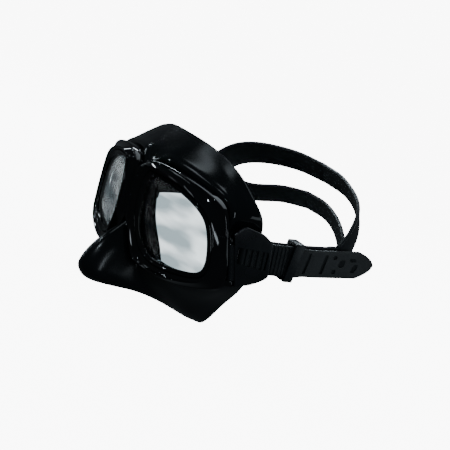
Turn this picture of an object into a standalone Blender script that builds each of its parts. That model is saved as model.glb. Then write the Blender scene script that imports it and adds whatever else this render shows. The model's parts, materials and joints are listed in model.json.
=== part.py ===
"""Diving mask: two lenses in a frame, a soft skirt with a nose pocket, hinged strap buckles and a split strap.

Lengths are in millimetres in the wearing frame and become metres when a mesh is made. X points to the wearer's
left, Y backwards from the face of the mask to the back of the head, and Z up. The finished mask is then tipped
nose-down by STAND_TILT, which stands it on its nose pocket and on the two lower corners of its skirt.
"""

import math

import bpy
import numpy as np
from mathutils import Matrix, Vector

MM = 0.001
GAP = 0.3
SIDES = (("left", 1.0), ("right", -1.0))

# How the whole mask stands, and where its wearing frame sits in the finished frame.
STAND_TILT = math.radians(8.75)
STAND_SHIFT = (0.0, -43.5, -7.655)

# Lenses: the plane that both lens faces lie in, mirrored about X = 0.
LENS_Y = -11.2
LENS_YAW = math.radians(20.2)
LENS_PITCH = math.radians(5.4)
PLANE_Z = 60.0
GLASS_THICK = 3.0
GLASS_RECESS = 1.6
BEZEL_WIDTH = 3.2
BEZEL_UNDERCUT = 2.2
FRAME_REAR = -8.5
SPOKES = 60

# Skirt.
SKIRT_THICK = 2.0
LIP_WIDTH = 14.0
SKIRT_AROUND = 88
SKIRT_ROWS = 11

# Buckle frame: D runs back along the strap, N points outward, U is across the strap.
HINGE_MID = Vector((68.0, 24.7, 52.0))
STRAP_DIR = Vector((0.3417, 0.9346, 0.1005)).normalized()
OUTWARD = STRAP_DIR.cross(Vector((0, 0, 1))).normalized()
ACROSS = OUTWARD.cross(STRAP_DIR).normalized()
HINGE_LEAN = -0.207
HINGE_DIR = (ACROSS + HINGE_LEAN * STRAP_DIR).normalized()
BARREL_R = 1.9
PIN_R = 0.8
HINGE_HALF = 14.2
LUG_LENGTH = 3.6

STRAP_T = 2.0
STRAP_U = 4.6
STRAP_W = 18.4
TAIL_W = 16.4
ROLLER_D = 7.6
ROLLER_R = 1.7
AXLE_R = 0.9
LAYER_GAP = 2 * (ROLLER_R + GAP) + STRAP_T
OUTER_N = -0.1
ROLLER_N = OUTER_N - LAYER_GAP / 2
TAIL_TIP_D = 92.0
STRAP_CUT_D = 57.0

BUCKLE_OUT_N = 2.6
BUCKLE_IN_N = -5.2
SKIN_N = 1.3

KEEPER_D = 36.2
KEEPER_N = -4.95
KEEPER_LENGTH = 5.6
KEEPER_WALL = 1.8
KEEPER_HALF_BORE = 4.45
KEEPER_SLOPE = -0.184

# The same stations round a left lens, as (x, z): the glass edge, the crest of the raised rim, the frame's edge.
GLASS_EDGE = [(15, 81), (18.5, 81.8), (24, 81), (34, 79.3), (46, 75.3), (55, 69), (59.6, 59), (61.4, 47.5),
              (58.4, 40.6), (47, 37), (31, 35.6), (21.5, 38.8), (15.6, 47), (12.6, 58), (12.2, 72)]
RIM_CREST = [(9.5, 84), (13.5, 86), (20, 86.8), (34, 84.2), (49, 79.2), (58.6, 72.4), (63.6, 60.6), (65.4, 46.5),
             (62.4, 36.2), (48, 30.4), (30, 28.8), (17, 31.8), (10.8, 42.5), (5.4, 57), (5.2, 73)]
CREST_HEIGHT = [2.4, 2.4, 2.4, 2.2, 1.6, 0.8, 0.3, 0.3, 0.8, 1.6, 2.2, 2.6, 2.6, 2.6, 2.4]
FRAME_EDGE = [(0, 80.4), (8, 88), (19, 89.8), (36, 88), (54, 83.8), (63.6, 76.6), (68.0, 61), (69.6, 46),
              (67.6, 35), (48, 27.5), (29, 25.8), (14.4, 28.4), (8.6, 40), (-1.5, 54), (-3.0, 69)]
EDGE_DEPTH = [4.0, 3.4, 3.4, 3.6, 4.0, 4.8, 5.1, 7.0, 6.5, 4.2, 4.0, 4.0, 4.0, 4.0, 4.0]
EDGE_REAR = [8.5, 8.5, 8.5, 8.5, 8.5, 6.6, 5.7, 7.6, 8.2, 8.5, 8.5, 8.5, 8.5, 8.5, 8.5]

# Skirt sections from the frame to the rim, one per station, from the top middle round the left to the bottom.
SKIRT_SECTIONS = [
    [(0, -4, 78.5), (0, -3.5, 85), (0, 1, 91.5), (0, 9, 99.5), (0, 17.5, 108.2)],
    [(8.5, 0, 85.5), (9, -0.5, 90.5), (10, 5, 95.5), (11.5, 12, 101.5), (12.5, 19, 107.6)],
    [(19, 4, 87), (19.5, 3.5, 91.5), (21, 9, 95.5), (23, 16, 101), (25, 22.6, 105.6)],
    [(35.5, 10, 84.5), (36.5, 10, 89.4), (39, 15, 92.2), (42, 22, 96.4), (44, 28.2, 99.2)],
    [(52.5, 16.5, 80), (54.5, 16.8, 84.6), (56.5, 21, 85.8), (58.4, 27, 87.6), (59.6, 33, 88.4)],
    [(61, 19.5, 73.5), (63.5, 21.5, 76.5), (65, 27, 77.6), (66.2, 32.6, 78.4), (66.8, 38, 78.6)],
    [(61.0, 20.5, 61), (61.4, 25, 62), (61.6, 31, 63), (62.4, 38, 64), (62.8, 44, 64)],
    [(62, 22, 46), (61.6, 27, 46), (61, 33, 46), (60.8, 40, 46), (60.6, 46.5, 46)],
    [(61.5, 20, 37), (61.5, 24.5, 35.4), (59.5, 32, 33.4), (57, 40, 32.6), (54.6, 47.6, 32.2)],
    [(47.5, 15.5, 31), (48, 18, 27), (46.5, 27, 22.5), (44.4, 38, 19.5), (42.6, 48.2, 18)],
    [(29.5, 9.5, 29), (30, 11.5, 24.6), (31, 22, 16), (31.2, 36, 7.5), (30.4, 49, 3)],
    [(16, 4, 29), (16.2, 5, 24), (17, 11, 16.5), (19, 27, 8), (20.6, 41, 2.2), (21, 50, 0.2)],
    [(11, 1.5, 36), (12.6, -3, 27.5), (13.4, -6.5, 17), (12.8, -2, 12.4), (13.4, 15, 9.6), (13.6, 48, 0.6)],
    [(6, -1, 45), (8, -13, 32.5), (9.8, -19.4, 20), (9.2, -16, 12), (9, 12, 9.6), (7.5, 45.5, 1.2)],
    [(0, -3, 51), (0, -17, 38), (0, -24.6, 27), (0, -26.6, 18), (0, -18, 10.4), (0, 12, 9), (0, 44.6, 1.6)],
]
FACE_CENTRE = (0.0, 58.0)

# Buckle outline in (D, U), and the path of the strap's outer layer in (D, N).
BUCKLE_OUTLINE = [(3.1, -14.4), (13.7, -11.5), (19.5, -8.6), (23.6, -5.4), (22.0, 14.4), (19.6, 16.6),
                  (14.0, 19.4), (4.2, 22.0), (-2.9, 15.0)]
TAIL_PATH = [(ROLLER_D, OUTER_N), (18, OUTER_N), (26, -0.4), (36, -2.1), (46, -4.3), (56, -7.6), (73, -14.6),
             (TAIL_TIP_D, -22.7)]
INNER_PATH = [(ROLLER_D, OUTER_N - LAYER_GAP), (18, -6.1), (26, -6.2), (36, -7.5), (46, -9.3),
              (STRAP_CUT_D, -12.8)]

# The rear bands, from the split to the middle of the back: centre line and half of the width across the band.
SPLIT_N = -12.9
SPLIT_SLOPE = -0.40
BAND_START_HALF_WIDTH = 4.6
UPPER_BAND = [(75.6, 93.6, 67.5), (72.6, 101, 77), (64.5, 108.5, 87.6), (49, 116, 94.2), (25, 123.5, 98.2),
              (0, 127, 98.8)]
LOWER_BAND = [(75.2, 92.6, 63.2), (72, 97.4, 68.8), (61.5, 102.5, 74.8), (43, 110.5, 79), (22, 117.5, 80.8),
              (0, 120.5, 80.4)]
# The slack lower band hangs lower on the wearer's right. Its centre line is given as if it were on the left.
LOWER_BAND_RIGHT = [(75.2, 92.6, 62.8), (72, 97.4, 65.8), (61.5, 102.5, 68), (43, 110.5, 69.6),
                    (22, 117.5, 76.4), (0, 120.5, 80.4)]
UPPER_HALF_WIDTH = (0.0, -4.2, 5.8)
LOWER_HALF_WIDTH = (0.0, -2.1, 5.2)

COLOURS = {
    "frame": ((0.006, 0.007, 0.009), 0.12, 0.0),
    "bezel": ((0.008, 0.009, 0.011), 0.16, 0.0),
    "glass": ((0.85, 0.93, 0.95), 0.03, 0.0),
    "skirt": ((0.007, 0.010, 0.012), 0.22, 0.0),
    "buckle": ((0.012, 0.016, 0.020), 0.38, 0.0),
    "metal": ((0.55, 0.56, 0.57), 0.3, 1.0),
    "strap": ((0.014, 0.020, 0.022), 0.45, 0.0),
}


# ---------------------------------------------------------------- curves and meshes

def through(points, count, closed=False):
    """Points at an even parameter along a smooth curve through the given points (Catmull-Rom)."""
    p = np.asarray(points, float)
    n = len(p)
    if closed:
        t = np.arange(count) * n / count
    else:
        t = np.linspace(0, n - 1, count)
        p = np.concatenate([[2 * p[0] - p[1]], p, [2 * p[-1] - p[-2]], [p[-1]]])
    i = np.minimum(t.astype(int), n - 1)
    f = (t - i)[:, None]
    at = (lambda k: p[(i + k) % n]) if closed else (lambda k: p[i + k + 1])
    a, b, c, d = at(-1), at(0), at(1), at(2)
    return 0.5 * (2 * b + (c - a) * f + (2 * a - 5 * b + 4 * c - d) * f**2 + (3 * b - a - 3 * c + d) * f**3)


def evenly(points, count):
    """Points at an even distance along a smooth open curve through the given points."""
    dense = through(points, 24 * len(points))
    along = np.concatenate([[0], np.cumsum(np.linalg.norm(np.diff(dense, axis=0), axis=1))])
    want = np.linspace(0, along[-1], count)
    return np.stack([np.interp(want, along, dense[:, k]) for k in range(dense.shape[1])], axis=1)


def new_object(name, points, faces, colour, origin=(0, 0, 0)):
    """An object with its own material; its mesh is stored relative to an origin in the wearing frame."""
    mesh = bpy.data.meshes.new(name)
    at = np.asarray(origin, float)
    mesh.from_pydata([tuple((np.asarray(p, float) - at) * MM) for p in points], [], faces)
    mesh.update()
    mesh.shade_smooth()
    mesh.set_sharp_from_angle(angle=math.radians(35))
    obj = bpy.data.objects.new(name, mesh)
    bpy.context.scene.collection.objects.link(obj)
    obj.location = Vector(origin) * MM
    mesh.materials.append(material(name, colour))
    return obj


def material(name, colour):
    base, roughness, metallic = COLOURS[colour]
    made = bpy.data.materials.new(name)
    made.use_nodes = True
    shader = made.node_tree.nodes["Principled BSDF"]
    shader.inputs["Base Color"].default_value = (*base, 1.0)
    shader.inputs["Roughness"].default_value = roughness
    shader.inputs["Metallic"].default_value = metallic
    if colour == "glass":
        shader.inputs["Transmission Weight"].default_value = 1.0
    return made


def grid_faces(rows, columns, close_rows=False):
    """Quads of a grid of rows by columns whose columns close on themselves, and whose rows may."""
    last = rows if close_rows else rows - 1
    return [
        (r * columns + c, r * columns + (c + 1) % columns,
         (r + 1) % rows * columns + (c + 1) % columns, (r + 1) % rows * columns + c)
        for r in range(last) for c in range(columns)
    ]


def flip(faces):
    return [tuple(reversed(face)) for face in faces]


def modify(obj, kind, **settings):
    modifier = obj.modifiers.new(kind.title(), kind)
    for key, value in settings.items():
        setattr(modifier, key, value)
    return modifier


def helper(obj):
    """Turns an object into a cutter or an addition that a Boolean reads, and that isn't part of the mask."""
    obj.hide_render = True
    obj.display_type = "WIRE"
    return obj


def boolean(obj, other, operation):
    modify(obj, "BOOLEAN", operation=operation, object=helper(other), solver="EXACT")


def prism(name, outline, low, high, place, colour, origin):
    """A flat outline in (a, b) pushed from low to high along c; place maps (a, b, c) to a point."""
    n = len(outline)
    points = [place(a, b, c) for c in (low, high) for a, b in outline]
    faces = [tuple(range(n))[::-1], tuple(range(n, 2 * n))]
    faces += [(i, (i + 1) % n, n + (i + 1) % n, n + i) for i in range(n)]
    return new_object(name, points, outward(points, faces), colour, origin)


def outward(points, faces):
    """The faces, turned round if they enclose a negative volume."""
    p = np.array([tuple(q) for q in points])
    volume = sum(np.dot(p[f[0]], np.cross(p[f[i]], p[f[i + 1]])) for f in faces for i in range(1, len(f) - 1))
    return flip(faces) if volume < 0 else faces


def rod(name, a, b, radius, sides, colour, origin):
    """A round bar from a to b."""
    a, b = Vector(a), Vector(b)
    along = (b - a).normalized()
    u = along.orthogonal().normalized()
    v = along.cross(u)
    ring = [radius * (math.cos(t) * u + math.sin(t) * v) for t in np.arange(sides) * math.tau / sides]
    points = [a + r for r in ring] + [b + r for r in ring]
    faces = [tuple(range(sides))[::-1], tuple(range(sides, 2 * sides))]
    faces += [(i, (i + 1) % sides, sides + (i + 1) % sides, sides + i) for i in range(sides)]
    return new_object(name, points, outward(points, faces), colour, origin)


def sweep(centres, sides, normals, half_width, half_thick):
    """Points and faces of a rectangular band along centres; half_width may vary along it."""
    c, s, n = (np.asarray(v, float) for v in (centres, sides, normals))
    w = np.broadcast_to(half_width, len(c))[:, None]
    t = np.broadcast_to(half_thick, len(c))[:, None]
    rows = np.stack([c + s * w + n * t, c - s * w + n * t, c - s * w - n * t, c + s * w - n * t], axis=1)
    count = len(c)
    faces = [tuple(range(4)), tuple(range(4 * count - 4, 4 * count))[::-1]]
    faces += flip(grid_faces(count, 4))
    points = rows.reshape(-1, 3)
    return points, outward(points, faces)


# ---------------------------------------------------------------- frame and lenses

def plane_point(xz, forward):
    """A point over the lens plane of the left lens, at the given height in front of it."""
    x, z = xz[:, 0], xz[:, 1]
    y = LENS_Y + math.tan(LENS_YAW) * x - math.tan(LENS_PITCH) * (z - PLANE_Z)
    return np.stack([x, y - np.asarray(forward) / math.cos(LENS_YAW), z], axis=1)


def lens_loops():
    glass = through(GLASS_EDGE, SPOKES, closed=True)
    crest = through(RIM_CREST, SPOKES, closed=True)
    edge = through(FRAME_EDGE, SPOKES, closed=True)
    edge[:, 0] = np.maximum(edge[:, 0], 0.0)
    spoke = (crest - glass) / np.linalg.norm(crest - glass, axis=1)[:, None]
    return glass, crest, edge, spoke


def round_lens(values):
    """A value per station, carried smoothly to every spoke."""
    return through(np.array(values)[:, None], SPOKES, closed=True)[:, 0]


def half_frame_rows():
    """Loops of the left half of the frame, from the bezel's seat over the front, round the edge and back."""
    glass, crest, edge, spoke = lens_loops()
    height, depth, rear = (round_lens(v) for v in (CREST_HEIGHT, EDGE_DEPTH, EDGE_REAR))
    seat = glass + spoke * (BEZEL_WIDTH + GAP)
    ledge = glass + spoke * 1.0
    ledge_front = -GLASS_RECESS - GLASS_THICK - 2 * GAP
    return [
        plane_point(seat, 0.2),
        plane_point(seat + (crest - seat) * 0.5, 0.2 + 0.4 * height),
        plane_point(seat + (crest - seat) * 0.88, 0.94 * height),
        plane_point(crest + (edge - crest) * 0.12, height),
        plane_point(crest + (edge - crest) * 0.5, height - 0.4 * (depth + height)),
        plane_point(edge, -depth),
        plane_point(edge, -rear),
        plane_point(ledge, FRAME_REAR),
        plane_point(ledge, ledge_front),
        plane_point(seat, ledge_front),
    ]


def frame():
    rows = np.array(half_frame_rows())
    left = rows.reshape(-1, 3)
    quads = grid_faces(len(rows), SPOKES, close_rows=True)
    quads = [q for q in quads if max(abs(left[i][0]) for i in q) > 1e-6]
    n = len(left)
    index = {}
    for i, p in enumerate(left):
        index[i + n] = i if abs(p[0]) < 1e-6 else i + n
    right = left * (-1, 1, 1)
    faces = quads + [tuple(index[i + n] for i in reversed(q)) for q in quads]
    points = np.concatenate([left, right])
    used = sorted({i for f in faces for i in f})
    renumber = {old: new for new, old in enumerate(used)}
    faces = [tuple(renumber[i] for i in f) for f in faces]
    points = points[used]
    body = new_object("frame", points, outward(points, faces), "frame")
    for side, sign in SIDES:
        for end in (-1, 1):
            boolean(body, hinge_lug(side, sign, end), "UNION")
        boolean(body, barrel_space(side, sign), "DIFFERENCE")
        boolean(body, hinge_hole(side, sign), "DIFFERENCE")
    return body


def frame_space():
    """The frame's block grown by a gap and without its lens openings: what the skirt keeps clear of."""
    glass, crest, edge, spoke = lens_loops()
    inside = glass - spoke * 4.0
    edge = edge + spoke * (GAP + 0.2)
    edge[:, 0] = np.maximum(edge[:, 0], -0.01)
    rear = round_lens(EDGE_REAR) + GAP + 0.1
    rows = [plane_point(inside, 5.0), plane_point(edge, 5.0), plane_point(edge, -rear),
            plane_point(inside, FRAME_REAR - GAP)]
    return np.array(rows).reshape(-1, 3), grid_faces(len(rows), SPOKES, close_rows=True)


def plate(name, loop, back, front, colour):
    """A flat piece over a loop on the lens plane."""
    n = len(loop)
    points = np.concatenate([plane_point(loop, back), plane_point(loop, front)])
    faces = [tuple(range(n)), tuple(range(n, 2 * n))[::-1]]
    faces += [(i, n + i, n + (i + 1) % n, (i + 1) % n) for i in range(n)]
    return name, points, faces, colour


def mirrored(name, points, faces, colour, sign, origin=(0, 0, 0)):
    points = np.asarray(points, float) * (sign, 1, 1)
    return new_object(name, points, outward(points, faces), colour, origin)


def lenses_and_bezels():
    glass, _, _, spoke = lens_loops()
    lens_edge = glass + spoke * BEZEL_UNDERCUT
    loops = [
        plane_point(glass, -0.2), plane_point(glass + spoke * 0.5, 0.9),
        plane_point(glass + spoke * (BEZEL_WIDTH - 1.0), 1.2), plane_point(glass + spoke * BEZEL_WIDTH, 0.4),
        plane_point(glass + spoke * BEZEL_WIDTH, -GLASS_RECESS - 1.0),
        plane_point(glass + spoke * (BEZEL_UNDERCUT + GAP), -GLASS_RECESS - 1.0),
        plane_point(glass + spoke * (BEZEL_UNDERCUT + GAP), -GLASS_RECESS + GAP),
        plane_point(glass, -GLASS_RECESS + GAP),
    ]
    ring = np.array(loops).reshape(-1, 3)
    for side, sign in SIDES:
        name, points, faces, colour = plate("lens_" + side, lens_edge, -GLASS_RECESS - GLASS_THICK,
                                            -GLASS_RECESS, "glass")
        mirrored(name, points, faces, colour, sign)
        mirrored("lens_bezel_" + side, ring, grid_faces(len(loops), SPOKES, close_rows=True), "bezel", sign)


# ---------------------------------------------------------------- skirt

def lip_rows(rim):
    """The rim rolls back and inward into a thin lip that lies on the face."""
    inward = np.stack([FACE_CENTRE[0] - rim[:, 0], np.zeros(len(rim)), FACE_CENTRE[1] - rim[:, 2]], axis=1)
    inward /= np.linalg.norm(inward, axis=1)[:, None]
    back = np.array([0.0, 1.0, 0.0])
    steps = ((1.6, 2.4), (4.6, 3.4), (0.6 * LIP_WIDTH, 2.6), (LIP_WIDTH, 0.6))
    return [rim + inward * i + back * b for i, b in steps]


def skirt_rows(around, rows):
    """Closed loops of the skirt's outer surface, from the frame to the inner edge of the lip."""
    sections = [evenly(s, rows) for s in SKIRT_SECTIONS]
    mirror = [s * (-1, 1, 1) for s in sections[-2:0:-1]]
    ring = np.array(sections + mirror)
    loops = [through(ring[:, r], around, closed=True) for r in range(rows)]
    return loops + lip_rows(loops[-1])


def skirt():
    rows = skirt_rows(SKIRT_AROUND, SKIRT_ROWS)
    points = np.array(rows).reshape(-1, 3)
    obj = new_object("skirt", points, grid_faces(len(rows), SKIRT_AROUND), "skirt")
    modify(obj, "SOLIDIFY", thickness=SKIRT_THICK * MM, offset=-1.0, use_even_offset=False)
    points, faces = frame_space()
    for side, sign in SIDES:
        boolean(obj, mirrored("frame_space_" + side, points, faces, "frame", sign), "DIFFERENCE")
    return obj


# ---------------------------------------------------------------- buckles

def buckle_place(sign):
    """Maps (D, U, N) of the buckle frame to the wearing frame, on the side with this sign."""
    def place(d, u, n):
        p = HINGE_MID + STRAP_DIR * d + ACROSS * u + OUTWARD * n
        return Vector((p.x * sign, p.y, p.z))
    return place


def axis_point(place, along):
    """A point on the hinge's axis, this far from its middle."""
    return place(along * HINGE_LEAN, along, 0)


def hinge_lug(side, sign, end):
    """One of the frame's two lugs: a block round the pin that runs forward into the frame's edge."""
    place = buckle_place(sign)
    low, high = sorted((end * HINGE_HALF, end * (HINGE_HALF - LUG_LENGTH)))
    section = [(-7.5, -2.6), (-7.5, 0.6), (-1.2, 1.5), (0.6, 1.8), (1.6, 0.9), (1.8, -0.4), (1.2, -1.4), (0, -1.9),
               (-1.2, -2.2)]
    return prism(f"lug_{side}_{end}", section, low, high,
                 lambda a, b, c: place(a + c * HINGE_LEAN, c, b), "frame", (0, 0, 0))


def hinge_hole(side, sign):
    place = buckle_place(sign)
    reach = HINGE_HALF + 3
    return rod(f"hinge_hole_{side}", axis_point(place, -reach), axis_point(place, reach), PIN_R + GAP, 16,
               "metal", (0, 0, 0))


def barrel_space(side, sign):
    place = buckle_place(sign)
    reach = HINGE_HALF - LUG_LENGTH - GAP / 2
    return rod(f"barrel_space_{side}", axis_point(place, -reach), axis_point(place, reach), BARREL_R + GAP, 20,
               "metal", (0, 0, 0))


def buckle(side, sign, origin):
    place = buckle_place(sign)
    knuckle = HINGE_HALF - LUG_LENGTH - GAP
    half = STRAP_W / 2 + 0.5
    body = prism("buckle_" + side, BUCKLE_OUTLINE, BUCKLE_IN_N, BUCKLE_OUT_N, place, "buckle", origin)
    pocket = prism("pocket", [(-9, STRAP_U - half), (TAIL_TIP_D, STRAP_U - half), (TAIL_TIP_D, STRAP_U + half),
                              (-9, STRAP_U + half)], BUCKLE_IN_N - 3, SKIN_N, place, "buckle", origin)
    under = prism("under_cut", [(-9, 14.0), (4.2, 14.0), (4.2, 17.4), (16, 17.4), (16, 26), (-9, 26)],
                  BUCKLE_IN_N - 3, 0.4, place, "buckle", origin)
    window = prism("window", [(3.0, 0.4), (20.4, -1.4), (20.8, 8.6), (2.2, 9.4)], 0, 9, place, "buckle", origin)
    clear = BARREL_R + GAP
    front = prism("front_cut", [(clear - 20 * HINGE_LEAN, -20), (clear + 26 * HINGE_LEAN, 26), (-20, 26),
                                (-20, -20)], -12, 12, place, "buckle", origin)
    barrel = rod("barrel_" + side, axis_point(place, -knuckle), axis_point(place, knuckle), BARREL_R, 20,
                 "buckle", origin)
    web = prism("web", [(-knuckle * HINGE_LEAN, -knuckle), (3.6 - knuckle * HINGE_LEAN, -knuckle),
                        (3.6 + knuckle * HINGE_LEAN, knuckle), (knuckle * HINGE_LEAN, knuckle)],
                0.7, BARREL_R - 0.05, place, "buckle", origin)
    end_web = prism("end_web", [(-0.6, -knuckle), (6.5, -knuckle), (6.5, -knuckle + 4.6), (-0.6, -knuckle + 4.6)],
                    -1.6, 1.7, lambda a, b, c: place(a + b * HINGE_LEAN, b, c), "buckle", origin)
    axle = rod("axle_hole", place(ROLLER_D, -11, ROLLER_N), place(ROLLER_D, 17.6, ROLLER_N), AXLE_R + GAP, 16,
               "metal", origin)
    hole = rod("pin_hole", axis_point(place, -20), axis_point(place, 20), PIN_R + GAP, 16, "metal", origin)
    for cut in (pocket, under, window, front):
        boolean(body, cut, "DIFFERENCE")
    for added in (web, end_web, barrel):
        boolean(body, added, "UNION")
    for cut in (axle, hole):
        boolean(body, cut, "DIFFERENCE")
    return body


def roller(side, sign, origin):
    place = buckle_place(sign)
    half = STRAP_W / 2
    body = rod("roller_" + side, place(ROLLER_D, STRAP_U - half, ROLLER_N),
               place(ROLLER_D, STRAP_U + half, ROLLER_N), ROLLER_R, 20, "buckle", origin)
    bore = rod("roller_bore", place(ROLLER_D, STRAP_U - half - 2, ROLLER_N),
               place(ROLLER_D, STRAP_U + half + 2, ROLLER_N), AXLE_R + 0.2, 16, "buckle", origin)
    boolean(body, bore, "DIFFERENCE")
    rod("roller_axle_" + side, place(ROLLER_D, -10.4, ROLLER_N), place(ROLLER_D, 17.0, ROLLER_N), AXLE_R, 12,
        "metal", origin)
    return body


def strap_side_path():
    """(D, N) of the strap from the tail's tip, forward over the roller, round it and back inside."""
    tail = evenly(TAIL_PATH, 34)[::-1]
    turn_r = ROLLER_R + GAP + STRAP_T / 2
    angles = np.linspace(90, 270, 13)[1:-1]
    turn = np.array([(ROLLER_D + turn_r * math.cos(math.radians(a)), ROLLER_N + turn_r * math.sin(math.radians(a)))
                     for a in angles])
    inner = evenly(INNER_PATH, 22)
    return np.concatenate([tail, turn, inner])


def strap_side(side, sign, origin):
    place = buckle_place(sign)
    path = strap_side_path()
    tangent = np.gradient(path, axis=0)
    tangent /= np.linalg.norm(tangent, axis=1)[:, None]
    centres = [place(d, STRAP_U, n) for d, n in path]
    base = place(0, 0, 0)
    across = np.array([tuple(place(0, 1, 0) - base)] * len(path))
    normal = np.array([tuple(place(-t[1], 0, t[0]) - base) for t in tangent])
    to_tip = np.hypot(*(path - path[0]).T)
    on_tail = (np.arange(len(path)) < 34)
    taper = np.where(on_tail, np.sqrt(np.clip(to_tip / 11.0, 0.03, 1.0)), 1.0)
    width = np.where(on_tail & (path[:, 0] > 42), TAIL_W, STRAP_W) * taper / 2
    points, faces = sweep([tuple(c) for c in centres], across, normal, width, STRAP_T / 2)
    return new_object("strap_side_" + side, points, faces, "strap", origin)


def keeper(side, sign):
    place = buckle_place(sign)
    origin = place(KEEPER_D, STRAP_U, KEEPER_N)
    half = KEEPER_LENGTH / 2
    half_u = STRAP_W / 2 + 0.5

    def at(a, b, c):
        return place(KEEPER_D + a - KEEPER_SLOPE * c, STRAP_U + b, KEEPER_N + c + KEEPER_SLOPE * a)

    outer = [(-half, -half_u - KEEPER_WALL), (half, -half_u - KEEPER_WALL), (half, half_u + KEEPER_WALL),
             (-half, half_u + KEEPER_WALL)]
    inner = [(-half - 2, -half_u), (half + 2, -half_u), (half + 2, half_u), (-half - 2, half_u)]
    reach = KEEPER_HALF_BORE + KEEPER_WALL
    body = prism("strap_keeper_" + side, outer, -reach, reach, at, "buckle", origin)
    hole = prism("keeper_hole", inner, -KEEPER_HALF_BORE, KEEPER_HALF_BORE, at, "buckle", origin)
    boolean(body, hole, "DIFFERENCE")
    return body


def hinge_pin(side, sign, origin):
    place = buckle_place(sign)
    return rod("hinge_pin_" + side, axis_point(place, -HINGE_HALF + 0.4), axis_point(place, HINGE_HALF - 0.4),
               PIN_R, 12, "metal", origin)


# ---------------------------------------------------------------- rear strap

def band(name, start, left_line, right_line, half_width):
    """One rear band, from one split over the back of the head to the other."""
    line = [start] + left_line + [(-x, y, z) for x, y, z in ([start] + right_line)[-2::-1]]
    count = 64
    centres = evenly(line, count)
    blend = np.sin(np.linspace(0, math.pi, count))[:, None] ** 0.6
    side_l = np.array(tuple(ACROSS))
    side = np.where(centres[:, :1] > 0, side_l, side_l * (-1, 1, 1)) * (1 - blend)
    side = side + np.array(half_width) / np.linalg.norm(half_width) * blend
    side /= np.linalg.norm(side, axis=1)[:, None]
    tangent = np.gradient(centres, axis=0)
    normal = np.cross(tangent, side)
    normal /= np.linalg.norm(normal, axis=1)[:, None]
    side = np.cross(normal, tangent)
    side /= np.linalg.norm(side, axis=1)[:, None]
    width = np.linalg.norm(half_width)
    widths = BAND_START_HALF_WIDTH + (width - BAND_START_HALF_WIDTH) * np.clip(blend[:, 0] * 2.2, 0, 1)
    points, faces = sweep(centres, side, normal, widths, STRAP_T / 2)
    return new_object(name, points, faces, "strap")


def rear_band():
    place = buckle_place(1.0)
    upper_start = place(STRAP_CUT_D + 2.2, STRAP_U + 3.6, -13.55)
    lower_start = place(STRAP_CUT_D + 2.6, STRAP_U - 3.7, -13.85)
    body = band("strap_rear_band", tuple(upper_start), UPPER_BAND, UPPER_BAND, UPPER_HALF_WIDTH)
    lower = band("lower_band", tuple(lower_start), LOWER_BAND, LOWER_BAND_RIGHT, LOWER_HALF_WIDTH)
    boolean(body, lower, "UNION")
    half = STRAP_W / 2 - 0.6
    for side, sign in SIDES:
        put = buckle_place(sign)
        join = prism(f"join_{side}", [(STRAP_CUT_D + 0.8, -half), (STRAP_CUT_D + 9.5, -half),
                                      (STRAP_CUT_D + 9.5, half), (STRAP_CUT_D + 0.8, half)],
                     -STRAP_T / 2, STRAP_T / 2,
                     lambda a, b, c: put(a, STRAP_U + b, SPLIT_N + 0.2 + SPLIT_SLOPE * (a - STRAP_CUT_D) + c),
                     "strap", (0, 0, 0))
        boolean(body, join, "UNION")
    return body


# ---------------------------------------------------------------- the whole mask

def main():
    for obj in list(bpy.data.objects):
        bpy.data.objects.remove(obj, do_unlink=True)
    frame()
    lenses_and_bezels()
    skirt()
    for side, sign in SIDES:
        place = buckle_place(sign)
        hinge = place(0, 0, 0)
        buckle(side, sign, hinge)
        hinge_pin(side, sign, hinge)
        roller(side, sign, place(ROLLER_D, STRAP_U, ROLLER_N))
        strap_side(side, sign, hinge)
        keeper(side, sign)
    rear_band()
    stand = bpy.data.objects.new("stand", None)
    bpy.context.scene.collection.objects.link(stand)
    stand.matrix_world = Matrix.Translation(Vector(STAND_SHIFT) * MM) @ Matrix.Rotation(STAND_TILT, 4, "X")
    for obj in bpy.data.objects:
        if obj is not stand:
            obj.parent = stand


main()
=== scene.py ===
"""Looks of the diving mask: every visible piece is modelled finely here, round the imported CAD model.

Shapes are worked out in millimetres in the wearing frame, as in the CAD: X to the wearer's left, Y from the
lenses to the back of the head, Z up. world() tips them into the row frame, in metres, the way the mask stands.
"""
import json
import math

import bpy
import numpy as np
from mathutils import Matrix, Vector

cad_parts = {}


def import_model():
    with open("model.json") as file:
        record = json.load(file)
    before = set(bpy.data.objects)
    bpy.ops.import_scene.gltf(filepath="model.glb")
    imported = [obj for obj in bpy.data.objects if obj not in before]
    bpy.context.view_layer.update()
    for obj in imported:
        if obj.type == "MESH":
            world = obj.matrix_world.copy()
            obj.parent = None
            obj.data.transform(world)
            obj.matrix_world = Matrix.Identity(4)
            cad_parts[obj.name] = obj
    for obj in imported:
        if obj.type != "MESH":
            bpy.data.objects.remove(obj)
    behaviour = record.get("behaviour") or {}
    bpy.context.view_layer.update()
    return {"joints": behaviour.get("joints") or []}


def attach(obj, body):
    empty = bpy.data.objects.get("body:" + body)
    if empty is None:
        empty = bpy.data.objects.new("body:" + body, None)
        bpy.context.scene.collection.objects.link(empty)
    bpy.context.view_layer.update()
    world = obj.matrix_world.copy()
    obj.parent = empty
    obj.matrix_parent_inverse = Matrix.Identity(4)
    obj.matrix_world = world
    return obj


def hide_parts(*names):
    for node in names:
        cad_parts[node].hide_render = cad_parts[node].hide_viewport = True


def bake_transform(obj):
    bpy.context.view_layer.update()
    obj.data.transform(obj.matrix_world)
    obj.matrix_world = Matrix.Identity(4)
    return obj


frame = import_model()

MM = 0.001
SIDES = (("left", 1.0), ("right", -1.0))
JOINTS = {joint["name"]: joint for joint in frame["joints"]}

# ---------------------------------------------------------------- the design's driving sizes, as in the CAD
# INNER_PATH alone runs on further, because the shown strap isn't split behind the keeper.

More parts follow.
